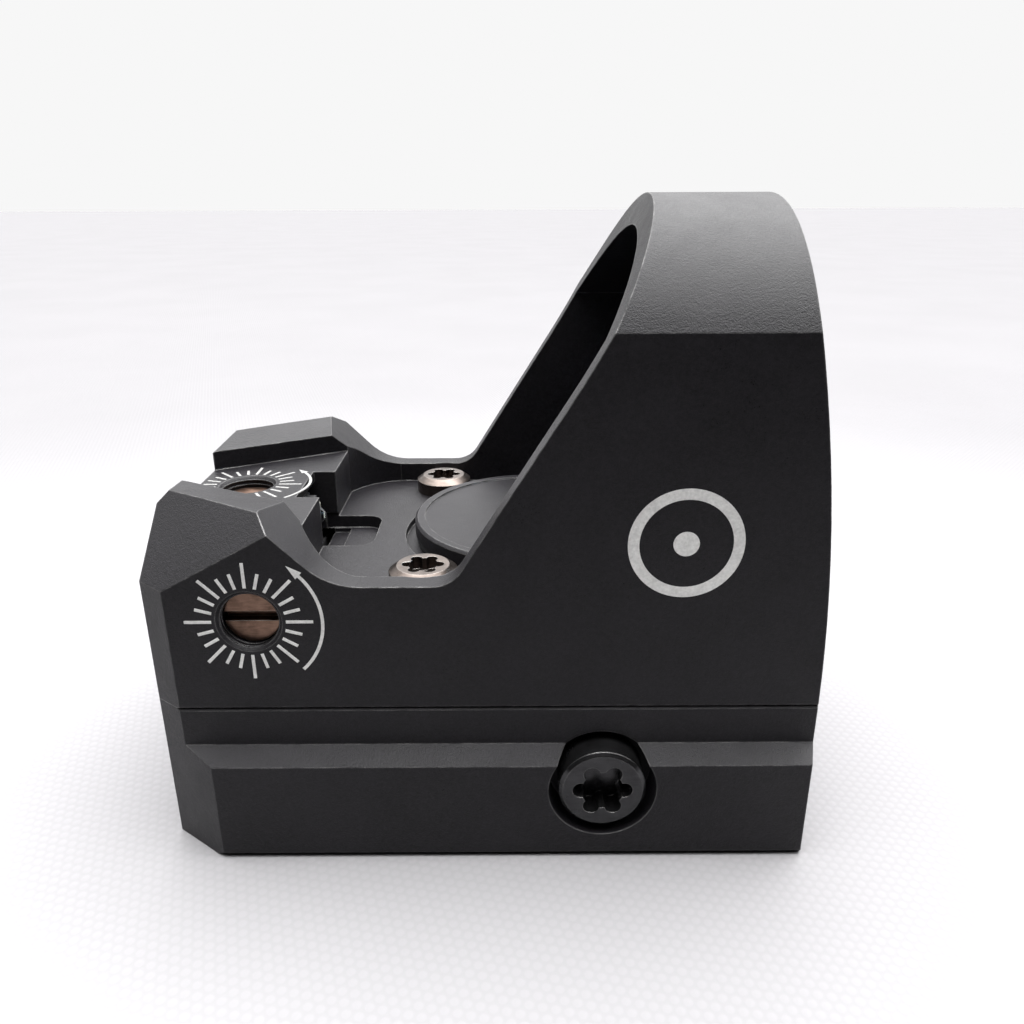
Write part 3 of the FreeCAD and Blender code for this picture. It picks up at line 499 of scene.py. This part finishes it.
def floor_finish(name):
    """Pale table cover with a faint honeycomb relief.

    The camera sees it pale all over.  Light and reflections find it dark on the
    right of the sight: a painted shadow, so the sides of the sight reflect little
    of it.  Its colour also fades away from the sight, painted shade that lets the
    far floor meet the backdrop.
    """
    made, tree, shader = new_material(name)
    weave = honeycomb(tree)
    thread = remap(tree, weave, 0.6, -1.2, smooth=True)
    cloud = noise(tree, 26.0, 3.0, 0.5)
    base = colours().floor
    spot = add(tree, "ShaderNodeSeparateXYZ")
    tree.links.new(place_of(tree), spot.inputs[0])
    # Painted shadow: for light and reflections the floor darkens on the right of the sight, under and
    # behind the camera.
    painted_shadow = remap(tree, spot.outputs[1], -0.105, -0.048, 0.06, 1.0, smooth=True)
    direct = add(tree, "ShaderNodeLightPath").outputs["Is Camera Ray"]
    shade = maths(tree, "MAXIMUM", painted_shadow, direct)
    reach = add(tree, "ShaderNodeVectorMath", operation="LENGTH")
    tree.links.new(place_of(tree), reach.inputs[0])
    # Painted shade: the colour fades by a fifth away from the sight, so the far floor meets the
    # backdrop.
    far = remap(tree, reach.outputs["Value"], 0.03, 0.14, 1.0, 0.80, smooth=True)
    pale = mix_colour(tree, maths(tree, "MULTIPLY", shade, far), (0.0, 0.0, 0.0), base)
    clouded = mix_colour(tree, 0.03, pale, (0, 0, 0))
    tint = mix_colour(tree, remap(tree, cloud, 0.35, 0.65), clouded, pale)
    tree.links.new(mix_colour(tree, maths(tree, "MULTIPLY", thread, 0.045), tint, (0.0, 0.0, 0.0)),
                   shader["Base Color"])
    shader["Roughness"].default_value = 0.6
    shader["Specular IOR Level"].default_value = 0.0
    tree.links.new(bump(tree, weave, 0.25, 0.03 * MM), shader["Normal"])
    return made


FINISHES = {}


def build_finishes():
    """One finished material for every slot of the record, and for the new pieces."""
    c = colours()
    black = tuple(c.anodise)
    FINISHES.update({
        "housing_black": blasted_metal("Blasted Black Housing", black, 0.33, 0.45),
        "mount_black": blasted_metal("Blasted Black Mount", [v * 1.05 for v in black], 0.34, 0.46,
                                     grain=12500.0, wear=0.30),
        "cap_black": blasted_metal("Fine Black Cap", [v * 1.15 for v in black], 0.38, 0.47,
                                   grain=13000.0, wear=0.4, dust=0.05, lift=0.040),
        "screw_black": plated_steel("Blackened Clamp Screw", (0.05, 0.05, 0.052), 0.16, 0.30,
                                    wear=0.25, metallic=0.85),
        "screw_bronze": plated_steel("Worn Deck Screws", tuple(c.screw), 0.24, 0.44, wear=0.5),
        "steel_bright": plated_steel("Bright Steel", (0.60, 0.60, 0.61), 0.18, 0.32),
        # The adjusters' colour is partly painted shade for recesses deeper than the model's.
        "adjuster_bronze": plated_steel("Bronze Adjusters With Painted Shade", tuple(c.bronze), 0.28, 0.46,
                                        wear=0.5, dark=0.45),
        "lens_glass": coated_glass("Coated Lens Glass", (0.90, 0.95, 0.95)),
        "bond_black": moulded("Lens Bond", (0.012, 0.012, 0.013), 0.35, 0.5),
        "rubber_black": moulded("Seal Rubber", (0.016, 0.016, 0.017), 0.38, 0.55),
        "slide_plastic": moulded("Filled Slide Plastic", (0.030, 0.030, 0.031), 0.4, 0.55,
                                 spread=1.4),
        "emitter_ceramic": moulded("Emitter Ceramic", (0.74, 0.71, 0.60), 0.3, 0.45),
        "emitter_clear": coated_glass("Emitter Dome", (0.96, 0.95, 0.90)),
        "board_green": board_finish("Circuit Board"),
        "chip_black": moulded("Chip Moulding", (0.02, 0.02, 0.022), 0.42, 0.6),
        "contact_brass": plated_steel("Plated Contact", (0.78, 0.60, 0.28), 0.2, 0.34),
        "button_rubber": moulded("Button Rubber", (0.022, 0.022, 0.024), 0.5, 0.68, grain=3400.0),
        "marking": marking_fill("Marking Fill"),
        # The elevation dial's marks face up: a darker copy of the same fill, painted shade against the
        # strong top light.
        "marking_top_painted_shade": marking_fill("Painted Shade Marking Fill", 0.34),
    })


def finish_piece(piece, body, slot, finish=None):
    """Gives a piece the finish of a record slot, or the finish named, and the body it rides on."""
    piece.data.materials.clear()
    piece.data.materials.append(FINISHES[finish or slot])
    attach(piece, body)
    return piece


def finish_node(node):
    """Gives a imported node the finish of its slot; its shape stays as it is."""
    part = NODES[node]
    part.data.materials.clear()
    part.data.materials.append(FINISHES[slot_of_node(node)])


# ------------------------------------------------------------ modelling helpers
def select_none():
    """Leaves edit mode with nothing selected."""
    if bpy.context.mode != "OBJECT":
        bpy.ops.object.mode_set(mode="OBJECT")
    bpy.ops.object.select_all(action="DESELECT")


def activate(piece):
    """Selects one piece alone and makes it active."""
    select_none()
    piece.select_set(True)
    bpy.context.view_layer.objects.active = piece


def settle(piece, name):
    """Puts the piece's place into its mesh, tidies it and names it."""
    activate(piece)
    bpy.ops.object.transform_apply(location=True, rotation=True, scale=True)
    bpy.ops.object.mode_set(mode="EDIT")
    bpy.ops.mesh.select_all(action="SELECT")
    bpy.ops.mesh.remove_doubles(threshold=1e-7)
    bpy.ops.mesh.normals_make_consistent(inside=False)
    bpy.ops.object.mode_set(mode="OBJECT")
    piece.name = piece.data.name = name
    return piece


def join(pieces, name):
    """Joins pieces into one."""
    select_none()
    for piece in pieces:
        piece.select_set(True)
    bpy.context.view_layer.objects.active = pieces[0]
    if len(pieces) > 1:
        bpy.ops.object.join()
    made = bpy.context.view_layer.objects.active
    made.name = made.data.name = name
    return made


def turn_about(centre, angle, axis):
    """Matrix that turns about an axis through a point."""
    centre = Vector(centre)
    return Matrix.Translation(centre) @ Matrix.Rotation(angle, 4, axis) @ Matrix.Translation(-centre)


def bar_mark(centre, size):
    """A filled line: a thin block with broken corners."""
    select_none()
    bpy.ops.mesh.primitive_cube_add(size=1.0, location=centre)
    made = bpy.context.object
    made.scale = size
    settle(made, "mark")
    bpy.ops.object.mode_set(mode="EDIT")
    bpy.ops.mesh.select_all(action="SELECT")
    bpy.ops.mesh.bevel(offset=0.12 * min(size), segments=1)
    bpy.ops.object.mode_set(mode="OBJECT")
    return made


def band(centre, radius, width, depth, axis, start, sweep, steps, name):
    """A flat ring or arc: a small rectangle spun about an axis ('Y' or 'Z')."""
    centre = Vector(centre)
    normal = Vector((0, 1, 0)) if axis == "Y" else Vector((0, 0, 1))
    out = Vector((math.cos(start), 0, math.sin(start))) if axis == "Y" else \
        Vector((math.cos(start), math.sin(start), 0))
    select_none()
    bpy.ops.mesh.primitive_plane_add(size=1.0, location=(0, 0, 0))
    made = bpy.context.object
    corners = [(-0.5, -0.5), (0.5, -0.5), (-0.5, 0.5), (0.5, 0.5)]
    for vertex, (u, v) in zip(made.data.vertices, corners):
        vertex.co = centre + out * (radius + u * width) + normal * (v * depth)
    bpy.ops.object.mode_set(mode="EDIT")
    bpy.ops.mesh.select_all(action="SELECT")
    closed = abs(sweep) > 2 * math.pi - 1e-6
    if closed:
        bpy.ops.mesh.delete(type="ONLY_FACE")
        bpy.ops.mesh.select_all(action="SELECT")
    turn = sweep if axis == "Y" else -sweep
    bpy.ops.mesh.spin(steps=steps, angle=turn, center=centre, axis=normal)
    bpy.ops.mesh.select_all(action="SELECT")
    bpy.ops.mesh.remove_doubles(threshold=1e-7)
    if not closed:
        bpy.ops.mesh.select_all(action="DESELECT")
        bpy.ops.mesh.select_non_manifold()
        shape = bmesh.from_edit_mesh(made.data)
        if any(e.select for e in shape.edges):
            bpy.ops.mesh.edge_face_add()
    bpy.ops.object.mode_set(mode="OBJECT")
    return settle(made, name)


def copy_of_node(node, name):
    """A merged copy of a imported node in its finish; it stands for the node."""
    finish_node(node)
    made = bpy.data.objects.new(name, NODES[node].data.copy())
    bpy.context.scene.collection.objects.link(made)
    activate(made)
    if made.data.has_custom_normals:
        bpy.ops.mesh.customdata_custom_splitnormals_clear()
    bpy.ops.object.mode_set(mode="EDIT")
    bpy.ops.mesh.select_all(action="SELECT")
    bpy.ops.mesh.remove_doubles(threshold=2e-7)
    bpy.ops.mesh.dissolve_limited(angle_limit=math.radians(0.6))
    bpy.ops.object.mode_set(mode="OBJECT")
    made.name = made.data.name = name
    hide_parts(node)
    return made


def break_edges(piece, width, segments, angle):
    """Applies a bevel to the edges sharper than an angle, in degrees."""
    activate(piece)
    edge = piece.modifiers.new("Edge break", "BEVEL")
    edge.width, edge.segments = width, segments
    edge.limit_method, edge.angle_limit = "ANGLE", math.radians(angle)
    bpy.ops.object.modifier_apply(modifier=edge.name)
    bpy.ops.object.shade_smooth_by_angle(angle=math.radians(30))


# ------------------------------------------------------------------ operators
class SIGHT_OT_housing(bpy.types.Operator):
    """Finish the housing in blasted black"""

    bl_idname = "sight.housing"
    bl_label = "Housing"

    def execute(self, context):
        finish_node("housing")
        return {"FINISHED"}


class SIGHT_OT_mount(bpy.types.Operator):
    """Finish the mount, the clamp bar and the clamp screw"""

    bl_idname = "sight.mount"
    bl_label = "Rail mount"

    def execute(self, context):
        for node in ("mount_base", "clamp_bar", "clamp_screw", "locating_pins"):
            finish_node(node)
        return {"FINISHED"}


class SIGHT_OT_screws(bpy.types.Operator):
    """Finish the screws that hold the sight on its mount"""

    bl_idname = "sight.screws"
    bl_label = "Deck screws"

    def execute(self, context):
        finish_node("mounting_screws")
        return {"FINISHED"}


class SIGHT_OT_lens(bpy.types.Operator):
    """Polish the two bonded lens plates and finish their black bond line"""

    bl_idname = "sight.lens"
    bl_label = "Lens"

    def execute(self, context):
        finish_node("lens_seal")
        ahead = Vector((1.0, 0.0, math.tan(LENS_LEAN))).normalized()
        for node, name in (("lens_rear", "lens_rear_plate"), ("lens_front", "lens_front_plate")):
            plate = copy_of_node(node, name)
            if node == "lens_rear":
                self.clear_cement(plate, ahead)
            break_edges(plate, LENS_BEVEL, 1, 50)
            finish_piece(plate, "mount", "lens_glass")
        return {"FINISHED"}

    def clear_cement(self, plate, ahead):
        """Draws the plate's front face back by the thickness of the cement film."""
        reach = [vertex.co.dot(ahead) for vertex in plate.data.vertices]
        front = max(reach)
        for vertex, far in zip(plate.data.vertices, reach):
            if far > front - 0.05 * MM:
                vertex.co -= ahead * CEMENT_FILM


class SIGHT_OT_adjusters(bpy.types.Operator):
    """Finish the adjusting screws and seals, and thread their bores"""

    bl_idname = "sight.adjusters"
    bl_label = "Adjusters"

    def execute(self, context):
        for node in ("windage_screw", "windage_oring", "elevation_screw", "elevation_oring"):
            finish_node(node)
        wind, rise = middle("windage_screw"), middle("elevation_screw")
        self.thread("windage_bore_thread", Vector((wind.x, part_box("housing")[0].y, wind.z)),
                    Vector((0, 1, 0)), (math.pi / 2, 0, 0))
        self.thread("elevation_bore_thread", Vector((rise.x, rise.y, PLATFORM_LEVEL)),
                    Vector((0, 0, -1)), (0, 0, 0))
        return {"FINISHED"}

    def thread(self, name, mouth, inward, tilt):
        """The first thread crests inside a bore's mouth, as rings a pitch apart."""
        rings = []
        for turn in range(THREAD_TURNS):
            depth = THREAD_START + turn * sizes().thread_pitch
            select_none()
            bpy.ops.mesh.primitive_torus_add(
                location=mouth + inward * depth, rotation=tilt,
                major_radius=THREAD_RADIUS, minor_radius=THREAD_CREST,
                major_segments=72, minor_segments=8)
            rings.append(settle(bpy.context.object, "ring"))
        piece = join(rings, name)
        bpy.ops.object.shade_smooth()
        finish_piece(piece, "mount", "housing_black", "screw_black")


class SIGHT_OT_dials(bpy.types.Operator):
    """Mark the two adjuster dials: ticks and a turning arrow"""

    bl_idname = "sight.dials"
    bl_label = "Dials"

    def execute(self, context):
        wind, rise = middle("windage_screw"), middle("elevation_screw")
        rear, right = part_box("housing")[0].x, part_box("housing")[0].y
        self.dial("windage_dial", Vector((wind.x, right, wind.z)), "Y", None, WINDAGE_ARROW)
        self.dial("elevation_dial", Vector((rise.x, rise.y, PLATFORM_LEVEL)), "Z",
                  rear + REAR_MARGIN, ELEVATION_ARROW)
        return {"FINISHED"}

    def dial(self, name, centre, axis, limit_x, half_sweep):
        """A ring of ticks, and an arc with an arrow head on the +X side of the dial."""
        s = sizes()
        normal = Vector((0, -1, 0)) if axis == "Y" else Vector((0, 0, 1))
        way = -1 if axis == "Y" else 1
        depth = 6 * s.mark_lift
        level = centre + normal * (s.mark_lift - depth / 2)
        marks = []
        for step in range(TICKS):
            angle = 2 * math.pi * step / TICKS
            outer = s.tick_short if step % LONG_TICK_EVERY else s.tick_long
            if limit_x is not None:
                reach = centre.x - limit_x
                if math.cos(angle) * outer < -reach:
                    outer = reach / -math.cos(angle)
            length = outer - s.tick_inner
            if length < SHORTEST_TICK:
                continue
            spot = level + Vector(((s.tick_inner + outer) / 2, 0, 0))
            size = (length, depth, s.tick_width) if axis == "Y" else (length, s.tick_width, depth)
            tick = bar_mark(spot, size)
            tick.data.transform(turn_about(level, way * angle, axis))
            marks.append(tick)
        marks.append(band(level, s.arrow_radius, s.tick_width, depth, axis, -half_sweep,
                          2 * half_sweep - ARROW_HEAD_GAP, 24, "arc"))
        marks.append(self.arrow_head(level, depth, axis, way * half_sweep))
        piece = join(marks, name)
        # Up-facing marks get the darker copy of the fill: painted shade.
        finish_piece(piece, "mount", "housing_black", "marking" if axis == "Y" else "marking_top_painted_shade")

    def arrow_head(self, level, depth, axis, angle):
        """A flat three-sided head at the end of the arc."""
        select_none()
        bpy.ops.mesh.primitive_cylinder_add(vertices=3, radius=ARROW_HEAD_RADIUS, depth=depth,
                                            location=(0, 0, 0))
        head = bpy.context.object
        head.scale = (0.52, 1.0, 1.0)
        settle(head, "head")
        stand = Matrix.Rotation(math.pi / 2, 4, "X") if axis == "Y" else Matrix.Identity(4)
        head.data.transform(Matrix.Translation(level + Vector((sizes().arrow_radius, 0, 0))) @ stand)
        head.data.transform(turn_about(level, angle, axis))
        return head


class SIGHT_OT_emblem(bpy.types.Operator):
    """Add a plain ring and dot on the right side"""

    bl_idname = "sight.emblem"
    bl_label = "Side emblem"

    def execute(self, context):
        s = sizes()
        face_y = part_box("housing")[0].y
        depth = 6 * s.mark_lift
        level = Vector((EMBLEM_X, face_y - s.mark_lift + depth / 2, EMBLEM_Z))
        ring = band(level, s.emblem_radius - EMBLEM_RING / 2, EMBLEM_RING, depth, "Y",
                    0.0, 2 * math.pi, 72, "ring")
        select_none()
        bpy.ops.mesh.primitive_cylinder_add(vertices=40, radius=EMBLEM_DOT, depth=depth,
                                            location=level, rotation=(math.pi / 2, 0, 0))
        dot = settle(bpy.context.object, "dot")
        piece = join([ring, dot], "side_emblem")
        finish_piece(piece, "mount", "housing_black", "marking")
        return {"FINISHED"}


class SIGHT_OT_battery(bpy.types.Operator):
    """Finish the battery, its contact, the cap and the cap seal"""

    bl_idname = "sight.battery"
    bl_label = "Battery and cap"

    def execute(self, context):
        for node in ("battery", "contact_spring", "battery_cap", "cap_oring"):
            finish_node(node)
        return {"FINISHED"}


class SIGHT_OT_emitter(bpy.types.Operator):
    """Finish the emitter, its slides and its springs"""

    bl_idname = "sight.emitter"
    bl_label = "Emitter and slides"

    def execute(self, context):
        for node in ("elevation_carriage", "windage_slide", "led_emitter", "emitter_dome",
                     "windage_spring"):
            finish_node(node)
        coil = copy_of_node("elevation_spring", "elevation_coil")
        bpy.ops.object.shade_smooth_by_angle(angle=math.radians(40))
        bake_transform(coil)
        return {"FINISHED"}


class SIGHT_OT_electronics(bpy.types.Operator):
    """Finish the boards, the bottom plate, its gasket and its screws"""

    bl_idname = "sight.electronics"
    bl_label = "Electronics"

    def execute(self, context):
        for node in ("control_board", "board_parts", "bottom_plate", "bottom_gasket",
                     "plate_screws", "switch_board", "switch_domes"):
            finish_node(node)
        return {"FINISHED"}


class SIGHT_OT_buttons(bpy.types.Operator):
    """Finish the two brightness buttons and their frame"""

    bl_idname = "sight.buttons"
    bl_label = "Buttons"

    def execute(self, context):
        for node in ("button_plate", "button_down", "button_up"):
            finish_node(node)
        return {"FINISHED"}


class SIGHT_OT_stage(bpy.types.Operator):
    """Set the floor, the surround, the soft light and the camera"""

    bl_idname = "sight.stage"
    bl_label = "Stage"

    def execute(self, context):
        self.lay_floor()
        context.scene.view_settings.view_transform = "Standard"
        context.scene.world = self.surround()
        self.softbox("top_light", (0.02, 0.10, 0.34), (0.30, 0.24), 0.35)
        self.set_camera(context.scene)
        return {"FINISHED"}

    def lay_floor(self):
        """A wide floor just under the mount."""
        select_none()
        bpy.ops.mesh.primitive_plane_add(size=4.0, location=(0, 0, -0.02 * MM))
        floor = settle(bpy.context.object, "floor")
        floor.data.materials.append(floor_finish("Pale Net Floor"))

    def surround(self):
        """An even backdrop for the camera; an uneven sky for light and reflections.

        The sky grows brighter with height, is dark on the right of the sight and
        low down, and is dimmer to the rear.
        """
        world = bpy.data.worlds.new("Soft surround")
        world.use_nodes = True
        tree = world.node_tree
        sky = tree.nodes["Background"]
        way = add(tree, "ShaderNodeTexCoord").outputs["Generated"]
        split = add(tree, "ShaderNodeSeparateXYZ")
        tree.links.new(way, split.inputs[0])
        ahead, leftward, rise = split.outputs[0], split.outputs[1], split.outputs[2]
        beyond = maths(tree, "ADD", leftward, maths(tree, "MULTIPLY", rise, 0.6))
        high = remap(tree, rise, 0.18, 0.5, 0.0, 1.8, smooth=True)
        crown = remap(tree, rise, 0.42, 1.0, 0.0, 7.4, smooth=True)
        level = maths(tree, "ADD", high, crown)
        share = remap(tree, beyond, -0.12, 0.32, 0.015, 1.0, smooth=True)
        rear = remap(tree, ahead, -0.80, -0.25, 0.22, 1.0, smooth=True)
        lit = maths(tree, "ADD", maths(tree, "MULTIPLY", level, rear), BACKDROP)
        direct = add(tree, "ShaderNodeLightPath").outputs["Is Camera Ray"]
        soft = remap(tree, direct, 0.0, 1.0, maths(tree, "MULTIPLY", lit, share), BACKDROP)
        tree.links.new(soft, sky.inputs["Strength"])
        sky.inputs["Color"].default_value = (1.0, 1.0, 1.0, 1.0)
        return world

    def set_camera(self, scene):
        """The camera to the right of the sight, looking a little down on it."""
        lens = bpy.data.cameras.new("view")
        camera = bpy.data.objects.new("view", lens)
        scene.collection.objects.link(camera)
        lens.sensor_width = 36.0
        lens.lens = CAMERA_LENS
        lens.clip_start, lens.clip_end = 0.002, 20.0
        aim = Matrix.Rotation(math.radians(90 - CAMERA_LOOKS_DOWN), 4, "X")
        camera.matrix_world = (Matrix.Translation(CAMERA_PLACE)
                               @ Matrix.Rotation(math.radians(CAMERA_TURN), 4, "Z") @ aim
                               @ Matrix.Rotation(math.radians(CAMERA_ROLL), 4, "Z"))
        scene.camera = camera

    def softbox(self, name, place, size, watts):
        """A rectangular light that faces the sight."""
        lamp = bpy.data.lights.new(name, "AREA")
        lamp.shape, lamp.size, lamp.size_y, lamp.energy = "RECTANGLE", size[0], size[1], watts
        holder = bpy.data.objects.new(name, lamp)
        bpy.context.scene.collection.objects.link(holder)
        holder.location = place
        towards = Vector((0, 0, 0.02)) - Vector(place)
        holder.rotation_euler = towards.to_track_quat("-Z", "Y").to_euler()


STEPS = (SIGHT_OT_housing, SIGHT_OT_mount, SIGHT_OT_screws, SIGHT_OT_lens, SIGHT_OT_adjusters,
         SIGHT_OT_dials, SIGHT_OT_emblem, SIGHT_OT_battery, SIGHT_OT_emitter,
         SIGHT_OT_electronics, SIGHT_OT_buttons, SIGHT_OT_stage)


class SIGHT_PT_panel(bpy.types.Panel):
    """Sizes, colours and building steps of the reflex sight"""

    bl_idname = "SIGHT_PT_panel"
    bl_label = "Reflex Sight"
    bl_space_type = "VIEW_3D"
    bl_region_type = "UI"
    bl_category = "Sight"

    def draw(self, context):
        layout = self.layout
        for group in (context.scene.sight_sizes, context.scene.sight_colours):
            box = layout.box()
            for label in group.__annotations__:
                box.prop(group, label)
        for step in STEPS:
            layout.operator(step.bl_idname)


CLASSES = (SightSizes, SightColours, *STEPS, SIGHT_PT_panel)


def register():
    for cls in CLASSES:
        bpy.utils.register_class(cls)
    bpy.types.Scene.sight_sizes = bpy.props.PointerProperty(type=SightSizes)
    bpy.types.Scene.sight_colours = bpy.props.PointerProperty(type=SightColours)


def unregister():
    del bpy.types.Scene.sight_colours
    del bpy.types.Scene.sight_sizes
    for cls in reversed(CLASSES):
        bpy.utils.unregister_class(cls)


def main():
    """Registers the add-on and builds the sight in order."""
    register()
    EFFECTS.update(build_effects())
    build_finishes()
    for step in STEPS:
        area, action = step.bl_idname.split(".")
        getattr(getattr(bpy.ops, area), action)()


if __name__ == "__main__":
    main()
